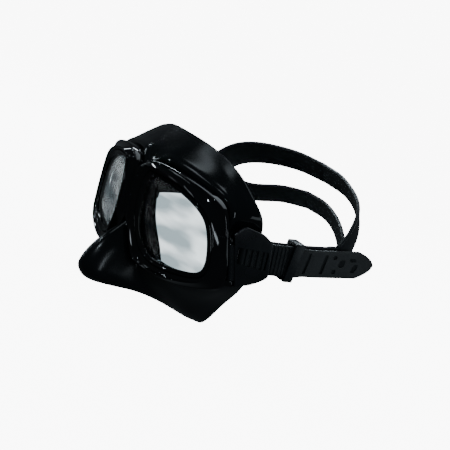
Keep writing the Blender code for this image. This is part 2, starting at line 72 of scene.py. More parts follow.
STAND_TILT = math.radians(8.75)
LENS_Y = -11.2
LENS_YAW = math.radians(20.2)
LENS_PITCH = math.radians(5.4)
PLANE_Z = 60.0
GLASS_THICK = 3.0
GLASS_RECESS = 1.6
BEZEL_WIDTH = 3.2
FRAME_REAR = -8.5
SEAT_GAP = 0.15

HINGE_MID = np.array([68.0, 24.7, 52.0])
STRAP_DIR = np.array([0.3417, 0.9346, 0.1005])
STRAP_DIR /= np.linalg.norm(STRAP_DIR)
OUTWARD = np.cross(STRAP_DIR, [0.0, 0.0, 1.0])
OUTWARD /= np.linalg.norm(OUTWARD)
ACROSS = np.cross(OUTWARD, STRAP_DIR)
HINGE_LEAN = -0.207
HINGE_HALF = 14.2
LUG_LENGTH = 3.6
BARREL_R = 1.9
PIN_R = 0.8

STRAP_T = 2.0
STRAP_U = 4.6
STRAP_W = 18.4
TAIL_W = 16.4
ROLLER_D = 7.6
ROLLER_R = 1.7
AXLE_R = 0.9
ROLL_GAP = 0.3
OUTER_N = -0.1
LAYER_GAP = 2 * (ROLLER_R + ROLL_GAP) + STRAP_T
ROLLER_N = OUTER_N - LAYER_GAP / 2
STRAP_CUT_D = 57.0
BUCKLE_OUT_N = 2.6
BUCKLE_IN_N = -5.2
SKIN_N = 1.3

KEEPER_D = 36.2
KEEPER_N = -4.95
KEEPER_LENGTH = 5.6
KEEPER_WALL = 1.8
KEEPER_SLOPE = -0.184

# The same stations round a left lens, as (x, z): the glass edge, the crest of the raised rim, the frame's
# edge.
GLASS_EDGE = [(15, 81), (18.5, 81.8), (24, 81), (34, 79.3), (46, 75.3), (55, 69), (59.6, 59), (61.4, 47.5),
              (58.4, 40.6), (47, 37), (31, 35.6), (21.5, 38.8), (15.6, 47), (12.6, 58), (12.2, 72)]
RIM_CREST = [(9.5, 84), (13.5, 86), (20, 86.8), (34, 84.2), (49, 79.2), (58.6, 72.4), (63.6, 60.6), (65.4, 46.5),
             (62.4, 36.2), (48, 30.4), (30, 28.8), (17, 31.8), (10.8, 42.5), (5.4, 57), (5.2, 73)]
CREST_HEIGHT = [2.4, 2.4, 2.4, 2.2, 1.6, 0.8, 0.3, 0.3, 0.8, 1.6, 2.2, 2.6, 2.6, 2.6, 2.4]
FRAME_EDGE = [(0, 80.4), (8, 88), (19, 89.8), (36, 88), (54, 83.8), (63.6, 76.6), (68.0, 61), (69.6, 46),
              (67.6, 35), (48, 27.5), (29, 25.8), (14.4, 28.4), (8.6, 40), (-1.5, 54), (-3.0, 69)]
EDGE_DEPTH = [4.0, 3.4, 3.4, 3.6, 4.0, 4.8, 5.1, 7.0, 6.5, 4.2, 4.0, 4.0, 4.0, 4.0, 4.0]
EDGE_REAR = [8.5, 8.5, 8.5, 8.5, 8.5, 6.6, 5.7, 7.6, 8.2, 8.5, 8.5, 8.5, 8.5, 8.5, 8.5]

# Skirt sections from the frame to the rim, one per station, from the top middle round the left to the bottom.
SKIRT_SECTIONS = [
    [(0, -4, 78.5), (0, -3.5, 85), (0, 1, 91.5), (0, 9, 99.5), (0, 17.5, 108.2)],
    [(8.5, 0, 85.5), (9, -0.5, 90.5), (10, 5, 95.5), (11.5, 12, 101.5), (12.5, 19, 107.6)],
    [(19, 4, 87), (19.5, 3.5, 91.5), (21, 9, 95.5), (23, 16, 101), (25, 22.6, 105.6)],
    [(35.5, 10, 84.5), (36.5, 10, 89.4), (39, 15, 92.2), (42, 22, 96.4), (44, 28.2, 99.2)],
    [(52.5, 16.5, 80), (54.5, 16.8, 84.6), (56.5, 21, 85.8), (58.4, 27, 87.6), (59.6, 33, 88.4)],
    [(61, 19.5, 73.5), (63.5, 21.5, 76.5), (65, 27, 77.6), (66.2, 32.6, 78.4), (66.8, 38, 78.6)],
    [(61.0, 20.5, 61), (61.4, 25, 62), (61.6, 31, 63), (62.4, 38, 64), (62.8, 44, 64)],
    [(62, 22, 46), (61.6, 27, 46), (61, 33, 46), (60.8, 40, 46), (60.6, 46.5, 46)],
    [(61.5, 20, 37), (61.5, 24.5, 35.4), (59.5, 32, 33.4), (57, 40, 32.6), (54.6, 47.6, 32.2)],
    [(47.5, 15.5, 31), (48, 18, 27), (46.5, 27, 22.5), (44.4, 38, 19.5), (42.6, 48.2, 18)],
    [(29.5, 9.5, 29), (30, 11.5, 24.6), (31, 22, 16), (31.2, 36, 7.5), (30.4, 49, 3)],
    [(16, 4, 29), (16.2, 5, 24), (17, 11, 16.5), (19, 27, 8), (20.6, 41, 2.2), (21, 50, 0.2)],
    [(11, 1.5, 36), (12.6, -3, 27.5), (13.4, -6.5, 17), (12.8, -2, 12.4), (13.4, 15, 9.6), (13.6, 48, 0.6)],
    [(6, -1, 45), (8, -13, 32.5), (9.8, -19.4, 20), (9.2, -16, 12), (9, 12, 9.6), (7.5, 45.5, 1.2)],
    [(0, -3, 51), (0, -17, 38), (0, -24.6, 27), (0, -26.6, 18), (0, -18, 10.4), (0, 12, 9), (0, 44.6, 1.6)],
]
FACE_CENTRE = (0.0, 58.0)
LIP_WIDTH = 14.0

BUCKLE_OUTLINE = [(3.1, -14.4), (13.7, -11.5), (19.5, -8.6), (23.6, -5.4), (22.0, 14.4), (19.6, 16.6),
                  (14.0, 19.4), (4.2, 22.0), (-2.9, 15.0)]
TAIL_PATH = [(ROLLER_D, OUTER_N), (18, OUTER_N), (26, -0.4), (36, -2.1), (46, -4.3), (56, -7.6), (73, -14.6),
             (92.0, -22.7)]
INNER_PATH = [(ROLLER_D, OUTER_N - LAYER_GAP), (18, -6.1), (26, -6.2), (36, -7.5), (46, -9.3), (57, -12.8),
              (64.5, -15.8)]
UPPER_BAND = [(75.6, 93.6, 67.5), (72.6, 101, 77), (64.5, 108.5, 87.6), (49, 116, 94.2), (25, 123.5, 98.2),
              (0, 127, 98.8)]
LOWER_BAND = [(75.2, 92.6, 63.2), (72, 97.4, 68.8), (61.5, 102.5, 74.8), (43, 110.5, 79), (22, 117.5, 80.8),
              (0, 120.5, 80.4)]
LOWER_BAND_RIGHT = [(75.2, 92.6, 62.8), (72, 97.4, 65.8), (61.5, 102.5, 68), (43, 110.5, 69.6),
                    (22, 117.5, 76.4), (0, 120.5, 80.4)]
UPPER_HALF_WIDTH = (0.0, -4.2, 5.8)
LOWER_HALF_WIDTH = (0.0, -2.1, 5.2)

# How much lower the crest is beside the bridge than in the CAD, so that the far lens shows past it.
BRIDGE_DROP = 0.5

# How finely this script divides the same shapes.
SPOKES = 300
SKIRT_AROUND = 344
SKIRT_ROWS = 64


# ---------------------------------------------------------------- places

def tilt_matrix():
    c, s = math.cos(STAND_TILT), math.sin(STAND_TILT)
    return np.array([[1, 0, 0], [0, c, -s], [0, s, c]])


TILT = tilt_matrix()
SHIFT = np.array(JOINTS["buckle_hinge_left"]["pos_m"]) / MM - TILT @ HINGE_MID


def world(points):
    """Points of the wearing frame, in millimetres, as points of the row frame, in metres."""
    return (np.asarray(points, float) @ TILT.T + SHIFT) * MM


def turned_only(direction):
    """A direction of the wearing frame in the row frame."""
    return Vector(TILT @ np.asarray(direction, float))


def buckle_place(sign):
    """Maps (D, U, N) of the buckle frame to the wearing frame: back along the strap, across it, outward."""
    def place(d, u, n):
        p = (HINGE_MID + np.multiply.outer(d, STRAP_DIR) + np.multiply.outer(u, ACROSS)
             + np.multiply.outer(n, OUTWARD))
        return p * (sign, 1, 1)
    return place


# ---------------------------------------------------------------- curves

def through(points, count, closed=False):
    """Points at an even parameter along a smooth curve through the given points (Catmull-Rom)."""
    p = np.asarray(points, float)
    n = len(p)
    if closed:
        t = np.arange(count) * n / count
    else:
        t = np.linspace(0, n - 1, count)
        p = np.concatenate([[2 * p[0] - p[1]], p, [2 * p[-1] - p[-2]], [p[-1]]])
    i = np.minimum(t.astype(int), n - 1)
    f = (t - i)[:, None]
    at = (lambda k: p[(i + k) % n]) if closed else (lambda k: p[i + k + 1])
    a, b, c, d = at(-1), at(0), at(1), at(2)
    return 0.5 * (2 * b + (c - a) * f + (2 * a - 5 * b + 4 * c - d) * f**2 + (3 * b - a - 3 * c + d) * f**3)


def evenly(points, count):
    """Points at an even distance along a smooth open curve through the given points."""
    dense = through(points, 24 * len(points))
    along = np.concatenate([[0], np.cumsum(np.linalg.norm(np.diff(dense, axis=0), axis=1))])
    want = np.linspace(0, along[-1], count)
    return np.stack([np.interp(want, along, dense[:, k]) for k in range(dense.shape[1])], axis=1)


def eased(loop, reach):
    """A closed loop with its curvature evened out over this many neighbours on each side."""
    weights = np.hanning(2 * reach + 3)[1:-1]
    weights /= weights.sum()
    return sum(w * np.roll(loop, k - reach, axis=0) for k, w in enumerate(weights))


def smoothstep(x, low, high):
    t = np.clip((np.asarray(x, float) - low) / (high - low), 0, 1)
    return t * t * (3 - 2 * t)


# ---------------------------------------------------------------- meshes

def grid_faces(rows, columns, close_rows=False):
    last = rows if close_rows else rows - 1
    return [
        (r * columns + c, r * columns + (c + 1) % columns,
         (r + 1) % rows * columns + (c + 1) % columns, (r + 1) % rows * columns + c)
        for r in range(last) for c in range(columns)
    ]


def outward(points, faces):
    """The faces, turned round if they enclose a negative volume."""
    p = np.asarray(points, float)
    volume = 0.0
    for f in faces:
        for i in range(1, len(f) - 1):
            volume += np.dot(p[f[0]], np.cross(p[f[i]], p[f[i + 1]]))
    return [tuple(reversed(f)) for f in faces] if volume < 0 else faces


def piece(name, points, faces, material, sharp=40):
    """A mesh object in the row frame, from points of the wearing frame."""
    faces = outward(points, faces)
    mesh = bpy.data.meshes.new(name)
    mesh.from_pydata(world(points).tolist(), [], faces)
    mesh.update()
    mesh.shade_smooth()
    mesh.set_sharp_from_angle(angle=math.radians(sharp))
    mesh.materials.append(material)
    obj = bpy.data.objects.new(name, mesh)
    bpy.context.scene.collection.objects.link(obj)
    return obj


def mirrored(points, sign):
    return np.asarray(points, float) * (sign, 1, 1)


def modify(obj, kind, **settings):
    modifier = obj.modifiers.new(kind.title(), kind)
    for key, value in settings.items():
        setattr(modifier, key, value)
    return modifier


def apply(obj):
    """The object's mesh with its modifiers in it."""
    graph = bpy.context.evaluated_depsgraph_get()
    graph.update()
    mesh = bpy.data.meshes.new_from_object(obj.evaluated_get(graph))
    old = obj.data
    obj.modifiers.clear()
    obj.data = mesh
    bpy.data.meshes.remove(old)
    return obj


def combine(obj, others, operation):
    """Joins the other solids to obj, or cuts them from it, and removes them."""
    for other in others:
        modify(obj, "BOOLEAN", operation=operation, object=other, solver="EXACT")
    apply(obj)
    for other in others:
        bpy.data.objects.remove(other, do_unlink=True)
    return obj


def soften(obj, width, segments=3, angle=30):
    """Rounds the edges of a solid, and shades it smooth between them."""
    modify(obj, "BEVEL", width=width * MM, segments=segments, limit_method="ANGLE",
           angle_limit=math.radians(angle), harden_normals=False)
    apply(obj)
    obj.data.shade_smooth()
    obj.data.set_sharp_from_angle(angle=math.radians(50))
    return obj


def loft(name, rows, material, closed_rows=False, caps=False, sharp=40):
    """A surface through rows of points; each row closes on itself."""
    rows = np.asarray(rows, float)
    count, columns = rows.shape[:2]
    faces = grid_faces(count, columns, close_rows=closed_rows)
    if caps:
        faces += [tuple(range(columns))[::-1], tuple(range((count - 1) * columns, count * columns))]
    return piece(name, rows.reshape(-1, 3), faces, material, sharp)


def prism(name, outline, low, high, place, material):
    """A flat outline in (a, b) pushed from low to high along the third direction."""
    n = len(outline)
    points = [place(a, b, c) for c in (low, high) for a, b in outline]
    faces = [tuple(range(n))[::-1], tuple(range(n, 2 * n))]
    faces += [(i, (i + 1) % n, n + (i + 1) % n, n + i) for i in range(n)]
    return piece(name, points, faces, material)


def inset(outline, amount):
    """A convex outline moved inward by an amount, at each of its corners."""
    p = np.asarray(outline, float)
    area = np.sum(p[:, 0] * np.roll(p[:, 1], -1) - np.roll(p[:, 0], -1) * p[:, 1])
    along = np.roll(p, -1, axis=0) - np.roll(p, 1, axis=0)
    along /= np.linalg.norm(along, axis=1)[:, None]
    normal = np.stack([-along[:, 1], along[:, 0]], axis=1) * np.sign(area)
    return p + normal * amount


def pillow(name, outline, low, high, bevel, place, material):
    """A prism over a convex outline whose top and bottom edges are rounded over by the bevel."""
    turns = np.linspace(0, math.pi / 2, 5)
    steps = [(bevel * (1 - math.sin(t)), low + bevel * (1 - math.cos(t))) for t in turns]
    steps += [(bevel * (1 - math.cos(t)), high - bevel * (1 - math.sin(t))) for t in turns]
    rows = [[place(a, b, level) for a, b in inset(outline, amount)] for amount, level in steps]
    return loft(name, rows, material, caps=True, sharp=35)


def lathe(name, a, b, profile, material, sides=40):
    """A turned piece on the axis from a to b; the profile is (share of the way, radius)."""
    a, b = np.asarray(a, float), np.asarray(b, float)
    along = (b - a) / np.linalg.norm(b - a)
    u = np.cross(along, [0.0, 0.6, 0.8])
    u /= np.linalg.norm(u)
    v = np.cross(along, u)
    angles = np.arange(sides) * math.tau / sides
    ring = np.cos(angles)[:, None] * u + np.sin(angles)[:, None] * v
    rows = [a + (b - a) * t + ring * r for t, r in profile]
    return loft(name, rows, material, caps=True, sharp=30)


# ---------------------------------------------------------------- materials

class Nodes:
    """A material's node tree, with short ways to add and join nodes."""

    def __init__(self, name):
        self.material = bpy.data.materials.new(name)
        self.material.use_nodes = True
        self.tree = self.material.node_tree
        self.shader = self.tree.nodes["Principled BSDF"]
        self.place = self.add("ShaderNodeTexCoord").outputs["Object"]

    def add(self, kind, inputs=None, **settings):
        node = self.tree.nodes.new(kind)
        for key, value in settings.items():
            setattr(node, key, value)
        for key, value in (inputs or {}).items():
            if isinstance(value, bpy.types.NodeSocket):
                self.tree.links.new(value, node.inputs[key])
            else:
                node.inputs[key].default_value = value
        return node

    def set(self, **values):
        for key, value in values.items():
            self.shader.inputs[key.replace("_", " ")].default_value = value

    def link(self, output, key):
        self.tree.links.new(output, self.shader.inputs[key])

    def noise(self, scale, detail=3.0, rough=0.5, stretch=(1, 1, 1)):
        at = self.add("ShaderNodeMapping", {"Vector": self.place, "Scale": stretch}).outputs["Vector"]
        return self.add("ShaderNodeTexNoise", {"Vector": at, "Scale": scale, "Detail": detail,
                                               "Roughness": rough}).outputs["Fac"]

    def between(self, value, low, high, to_low, to_high):
        return self.add("ShaderNodeMapRange", {"Value": value, "From Min": low, "From Max": high,
                                               "To Min": to_low, "To Max": to_high}).outputs["Result"]

    def math(self, operation, a, b):
        return self.add("ShaderNodeMath", {0: a, 1: b}, operation=operation).outputs["Value"]

    def tint(self, value, low, high):
        ramp = self.add("ShaderNodeValToRGB", {"Fac": value})
        ramp.color_ramp.elements[0].color = (*low, 1)
        ramp.color_ramp.elements[1].color = (*high, 1)
        return ramp.outputs["Color"]

    def bump(self, height, strength, distance, normal=None):
        inputs = {"Height": height, "Strength": strength, "Distance": distance}
        if normal is not None:
            inputs["Normal"] = normal
        return self.add("ShaderNodeBump", inputs).outputs["Normal"]


def gloss_plastic(name):
    """Polished injection-moulded plastic: deep black, faint orange peel, a few dull handled spots."""
    n = Nodes(name)
    peel = n.noise(420, 2)
    handled = n.noise(46, 5, 0.6)
    n.set(IOR=1.5)
    n.link(n.tint(handled, (0.0035, 0.0040, 0.0052), (0.0062, 0.0066, 0.0082)), "Base Color")
    n.link(n.between(handled, 0.35, 0.75, 0.025, 0.075), "Roughness")
    n.link(n.bump(peel, 0.03, 0.0001), "Normal")
    return n.material


def silicone(name):
    """Liquid silicone rubber: glossy where the mould was polished, satin on the forehead and the cheeks."""
    n = Nodes(name)
    grain = n.noise(2600, 2, 0.6)
    cloud = n.noise(38, 4, 0.55)
    split = n.add("ShaderNodeSeparateXYZ", {"Vector": n.place})
    high = n.between(split.outputs["Z"], 0.078, 0.098, 0.0, 1.0)
    low = n.between(split.outputs["Z"], 0.032, 0.018, 0.0, 1.0)
    satin = n.math("MAXIMUM", high, low)
    n.set(IOR=1.43, Specular_IOR_Level=0.5)
    n.link(n.tint(cloud, (0.0042, 0.0062, 0.0074), (0.0075, 0.0100, 0.0118)), "Base Color")
    rough = n.math("ADD", n.between(cloud, 0.3, 0.7, 0.035, 0.065), n.math("MULTIPLY", satin, 0.17))
    n.link(rough, "Roughness")
    n.link(n.bump(grain, 0.003, 0.00002), "Normal")
    return n.material


def matt_silicone(name):
    """The inside of the skirt, frosted by its mould so that the wearer sees no reflections."""
    n = Nodes(name)
    frost = n.add("ShaderNodeTexVoronoi", {"Vector": n.place, "Scale": 1500.0}).outputs["Distance"]
    cloud = n.noise(44, 4)
    n.set(IOR=1.43, Specular_IOR_Level=0.10)
    n.link(n.tint(cloud, (0.0042, 0.0058, 0.0066), (0.0072, 0.0092, 0.0104)), "Base Color")
    n.link(n.between(cloud, 0.3, 0.7, 0.55, 0.70), "Roughness")
    n.link(n.bump(frost, 0.02, 0.0001), "Normal")
    return n.material


def satin_rubber(name, low=(0.0085, 0.0115, 0.0135), high=(0.0150, 0.0190, 0.0215), rough=(0.34, 0.48)):
    """Moulded strap rubber with a fine satin grain and worn, slightly paler clouds."""
    n = Nodes(name)
    grain = n.noise(3200, 2, 0.65)
    cloud = n.noise(70, 5, 0.6)
    n.set(IOR=1.46)
    n.link(n.tint(cloud, low, high), "Base Color")
    n.link(n.between(cloud, 0.3, 0.72, *rough), "Roughness")
    n.link(n.bump(grain, 0.10, 0.00012), "Normal")
    return n.material


def satin_plastic(name):
    """Spark-eroded plastic of the buckles: fine even texture, dull sheen."""
    n = Nodes(name)
    texture = n.add("ShaderNodeTexVoronoi", {"Vector": n.place, "Scale": 1900.0}).outputs["Distance"]
    cloud = n.noise(60, 4)
    n.set(IOR=1.5)
    n.link(n.tint(cloud, (0.0065, 0.0090, 0.0115), (0.0110, 0.0140, 0.0175)), "Base Color")
    n.link(n.between(cloud, 0.3, 0.7, 0.25, 0.36), "Roughness")
    n.link(n.bump(texture, 0.10, 0.00008), "Normal")
    return n.material


def steel(name):
    """Drawn stainless pin: fine lines along it."""
    n = Nodes(name)
    lines = n.noise(900, 3, 0.5, (1.0, 1.0, 0.06))
    n.set(Base_Color=(0.56, 0.57, 0.58, 1), Metallic=1.0)
    n.link(n.between(lines, 0.3, 0.7, 0.18, 0.34), "Roughness")
    n.link(n.bump(lines, 0.08, 0.0001), "Normal")
    return n.material


def tempered_glass(name):
    """Grey glass with paler slanted streaks. They stand for the room's reflections, which the stage hasn't got.

    The index is lower and the tint darker than real glass has, because a glowing floor lies behind it.
    """
    n = Nodes(name)
    smear = n.noise(62, 2, 0.35, (0.5, 1.0, 1.6))
    streak = n.between(smear, 0.42, 0.60, 0.0, 1.0)
    n.set(Transmission_Weight=1.0, IOR=1.22)
    n.link(n.tint(streak, (0.050, 0.064, 0.069), (0.175, 0.195, 0.202)), "Base Color")
    n.link(n.between(smear, 0.55, 0.9, 0.0, 0.004), "Roughness")
    return n.material


MATERIALS = {
    "frame": gloss_plastic("frame_gloss_plastic"),
    "bezel": gloss_plastic("bezel_gloss_plastic"),
    "glass": tempered_glass("tempered_glass"),
    "skirt": silicone("skirt_silicone"),
    "skirt_inside": matt_silicone("skirt_inside_silicone"),
    "buckle": satin_plastic("buckle_satin_plastic"),
    "strap": satin_rubber("strap_rubber"),
    "keeper": satin_rubber("keeper_rubber", (0.0095, 0.0125, 0.0150), (0.0165, 0.0205, 0.0240), (0.30, 0.42)),
    "steel": steel("pin_steel"),
}


# ---------------------------------------------------------------- frame, bezels and lenses

def plane_point(xz, forward):
    """A point over the lens plane of the left lens, at the given height in front of it."""
    x, z = xz[:, 0], xz[:, 1]
    y = LENS_Y + math.tan(LENS_YAW) * x - math.tan(LENS_PITCH) * (z - PLANE_Z)
    return np.stack([x, y - np.asarray(forward) / math.cos(LENS_YAW), z], axis=1)


def round_lens(values):
    return eased(through(np.array(values)[:, None], SPOKES, closed=True), 9)[:, 0]


def lens_loops():
    loops = (GLASS_EDGE, RIM_CREST, FRAME_EDGE)
    glass, crest, edge = (eased(through(loop, SPOKES, closed=True), 4) for loop in loops)
    spoke = (crest - glass) / np.linalg.norm(crest - glass, axis=1)[:, None]
    edge[:, 0] = np.maximum(edge[:, 0], 0.0)
    return glass, crest, edge, spoke


def frame_rows():
    """Loops of the left half of the frame, from the lens seat over the raised rim, round the edge and back."""
    glass, crest, edge, spoke = lens_loops()
    height, depth, rear = (round_lens(v) for v in (CREST_HEIGHT, EDGE_DEPTH, EDGE_REAR))
    height = height * (1 - BRIDGE_DROP * (1 - smoothstep(crest[:, 0], 6.0, 22.0)))
    seat = glass + spoke * (BEZEL_WIDTH + SEAT_GAP)
    ledge = glass + spoke * 1.0
    ledge_front = -GLASS_RECESS - GLASS_THICK - 0.3
    fall = depth + height

    def to_crest(f, h):
        return plane_point(seat + (crest - seat) * f, h)

    def to_edge(f, h):
        return plane_point(crest + (edge - crest) * f, h)

    return [
        plane_point(seat, ledge_front), plane_point(seat, np.full(SPOKES, -0.4)), to_crest(0.02, -0.15),
        to_crest(0.06, 0.02), to_crest(0.10, 0.03), to_crest(0.35, 0.03 + 0.04 * height),
        to_crest(0.60, 0.04 + 0.13 * height), to_crest(0.70, 0.06 + 0.27 * height),
        to_crest(0.79, 0.08 + 0.55 * height), to_crest(0.87, 0.11 + 0.84 * height),
        to_crest(0.93, 0.15 + 0.97 * height), to_crest(0.97, 0.18 + height), to_crest(1.0, 0.18 + height),
        to_edge(0.03, 0.13 + height), to_edge(0.06, height - 0.04 * fall), to_edge(0.12, height - 0.13 * fall),
        to_edge(0.28, height - 0.33 * fall), to_edge(0.46, height - 0.53 * fall),
        to_edge(0.64, height - 0.70 * fall), to_edge(0.76, height - 0.785 * fall),
        to_edge(0.80, height - 0.80 * fall), to_edge(0.86, height - 0.80 * fall),
        to_edge(0.93, height - 0.83 * fall), to_edge(0.985, height - 0.91 * fall),
        plane_point(edge, -depth - 0.3), plane_point(edge, -rear + 0.5),
        plane_point(edge + (ledge - edge) * 0.05, -rear),
        plane_point(ledge + (edge - ledge) * 0.08, FRAME_REAR), plane_point(ledge, FRAME_REAR + 0.5),
        plane_point(ledge, ledge_front - 0.2), plane_point(ledge + spoke * 0.2, ledge_front),
    ]


def whole_frame():
    """The left half and its mirror image as one solid that meets at the middle of the bridge."""
    rows = np.array(frame_rows())
    left = rows.reshape(-1, 3)
    on_middle = np.abs(left[:, 0]) < 1e-6
    quads = [q for q in grid_faces(len(rows), SPOKES, close_rows=True) if not all(on_middle[i] for i in q)]
    n = len(left)
    other = np.where(on_middle, np.arange(n), np.arange(n) + n)
    faces = quads + [tuple(int(other[i]) for i in reversed(q)) for q in quads]
    points = np.concatenate([left, left * (-1, 1, 1)])
    used = sorted({i for f in faces for i in f})
    renumber = {old: new for new, old in enumerate(used)}
    faces = [tuple(renumber[i] for i in f) for f in faces]
    body = piece("frame_shell", points[used], faces, MATERIALS["frame"], 44)
    reach = HINGE_HALF - LUG_LENGTH - 0.15
    cuts = [hinge_bar("barrel_space", sign, reach, BARREL_R + 0.3) for _, sign in SIDES]
    combine(body, cuts, "DIFFERENCE")
    body.data.shade_smooth()
    body.data.set_sharp_from_angle(angle=math.radians(44))
    return body


def hinge_bar(name, sign, half, radius, material="frame"):
    place = buckle_place(sign)
    return lathe(name, place(-half * HINGE_LEAN, -half, 0), place(half * HINGE_LEAN, half, 0),
                 [(0, radius), (1, radius)], MATERIALS[material])


def hinge_lug(side, sign, end):
    """One of the frame's two lugs: an eye round the pin on an arm that runs forward into the frame's edge."""
    place = buckle_place(sign)
    low, high = sorted((end * HINGE_HALF, end * (HINGE_HALF - LUG_LENGTH)))
    eye = [(BARREL_R * math.cos(t), BARREL_R * math.sin(t)) for t in np.linspace(-2.3, 2.2, 22)]
    outline = [(-7.5, 0.6)] + [(-7.5, -2.6)] + eye
    lug = prism(f"hinge_lug_{side}_{'upper' if end > 0 else 'lower'}", outline, low, high,
                lambda a, b, c: place(a + c * HINGE_LEAN, c, b), MATERIALS["frame"])
    combine(lug, [hinge_bar("eye", sign, HINGE_HALF + 3, PIN_R + 0.12)], "DIFFERENCE")
    return soften(lug, 0.25, 2)


def bezel_rows():
    """The ring that holds the glass: two fine ridges with a groove between them."""
    glass, _, _, spoke = lens_loops()
    steps = [(0.0, -GLASS_RECESS + 0.85), (0.0, -0.45), (0.10, -0.1), (0.26, 0.10), (0.46, 0.16), (0.66, 0.10),
             (0.82, -0.12), (1.0, -0.26), (1.7, -0.26), (1.95, -0.05), (2.12, 0.22), (2.34, 0.36), (2.58, 0.36),
             (2.8, 0.22), (2.96, -0.05), (3.2, -0.5), (3.2, -GLASS_RECESS - 1.0), (2.5, -GLASS_RECESS - 1.0),
             (2.5, -GLASS_RECESS + 0.85)]
    return [plane_point(glass + spoke * out, np.full(SPOKES, forward)) for out, forward in steps]


def lens_rows():
    glass, _, _, spoke = lens_loops()
    back, front = -GLASS_RECESS - GLASS_THICK + 0.8, -GLASS_RECESS + 0.8
    steps = [(1.8, back), (2.2, back + 0.35), (2.2, front - 0.35), (1.8, front)]
    return [plane_point(glass + spoke * out, np.full(SPOKES, forward)) for out, forward in steps]


def front_pieces():
    body = whole_frame()
    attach(body, "mask")
    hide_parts("frame")
    rings, plates = np.array(bezel_rows()), np.array(lens_rows())
    for side, sign in SIDES:
        bezel = loft("lens_bezel_ring_" + side, rings * (sign, 1, 1), MATERIALS["bezel"], closed_rows=True)
        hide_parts("lens_bezel_" + side)
        glass = loft("lens_glass_" + side, plates * (sign, 1, 1), MATERIALS["glass"], caps=True, sharp=25)
        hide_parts("lens_" + side)
        lugs = [hinge_lug(side, sign, end) for end in (-1, 1)]
        for made in [bezel, glass] + lugs:
            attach(made, "mask")


# ---------------------------------------------------------------- skirt

def skirt_loops():
    """Closed loops of the skirt's outer surface, from the frame over the rolled rim to the lip's inner edge."""
    sections = [evenly(s, SKIRT_ROWS) for s in SKIRT_SECTIONS]
    mirror = [s * (-1, 1, 1) for s in sections[-2:0:-1]]
    ring = np.array(sections + mirror)
    loops = [eased(through(ring[:, r], SKIRT_AROUND, closed=True), 5) for r in range(SKIRT_ROWS)]
    rim = loops[-1]
    inward = np.stack([FACE_CENTRE[0] - rim[:, 0], np.zeros(len(rim)), FACE_CENTRE[1] - rim[:, 2]], axis=1)
    inward /= np.linalg.norm(inward, axis=1)[:, None]
    back = np.array([0.0, 1.0, 0.0])
    roll = [(0.25, 0.9), (0.8, 1.7), (1.6, 2.4), (2.9, 3.0), (4.6, 3.3), (0.6 * LIP_WIDTH, 2.6),
            (0.8 * LIP_WIDTH, 1.7), (LIP_WIDTH, 0.6)]
    return loops + [rim + inward * i + back * b for i, b in roll]


def frame_space(sign):
    """The frame's block, grown a little and without its lens openings: what the skirt keeps clear of."""
    glass, _, edge, spoke = lens_loops()
    inside = glass - spoke * 4.0
    edge = edge + spoke * 0.12
    edge[:, 0] = np.maximum(edge[:, 0], -0.01)
    rear = round_lens(EDGE_REAR) + 0.12
    rows = [plane_point(inside, np.full(SPOKES, 5.0)), plane_point(edge, np.full(SPOKES, 5.0)),
            plane_point(edge, -rear), plane_point(inside, np.full(SPOKES, FRAME_REAR - 0.12))]
    return loft("frame_space", np.array(rows) * (sign, 1, 1), MATERIALS["skirt"], closed_rows=True)


def skirt():
    obj = loft("skirt_body", skirt_loops(), MATERIALS["skirt"], sharp=60)
    obj.data.materials.append(MATERIALS["skirt_inside"])
    modify(obj, "SOLIDIFY", thickness=1.8 * MM, offset=-1.0, use_even_offset=False, material_offset=1)
    apply(obj)
    combine(obj, [frame_space(sign) for _, sign in SIDES], "DIFFERENCE")
    obj.data.shade_smooth()
    obj.data.set_sharp_from_angle(angle=math.radians(50))
    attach(obj, "mask")
    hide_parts("skirt")


# ---------------------------------------------------------------- buckles

def rounded(outline, radius, steps=5):
    """The outline with each corner cut by a small arc."""
    p = np.asarray(outline, float)
    made = []
    for before, corner, after in zip(np.roll(p, 1, axis=0), p, np.roll(p, -1, axis=0)):
        a, b = before - corner, after - corner
        cut = min(radius, 0.4 * np.linalg.norm(a), 0.4 * np.linalg.norm(b))
        start, end = corner + a / np.linalg.norm(a) * cut, corner + b / np.linalg.norm(b) * cut
        for t in np.linspace(0, 1, steps):
            made.append(tuple((1 - t)**2 * start + 2 * t * (1 - t) * corner + t**2 * end))
    return made


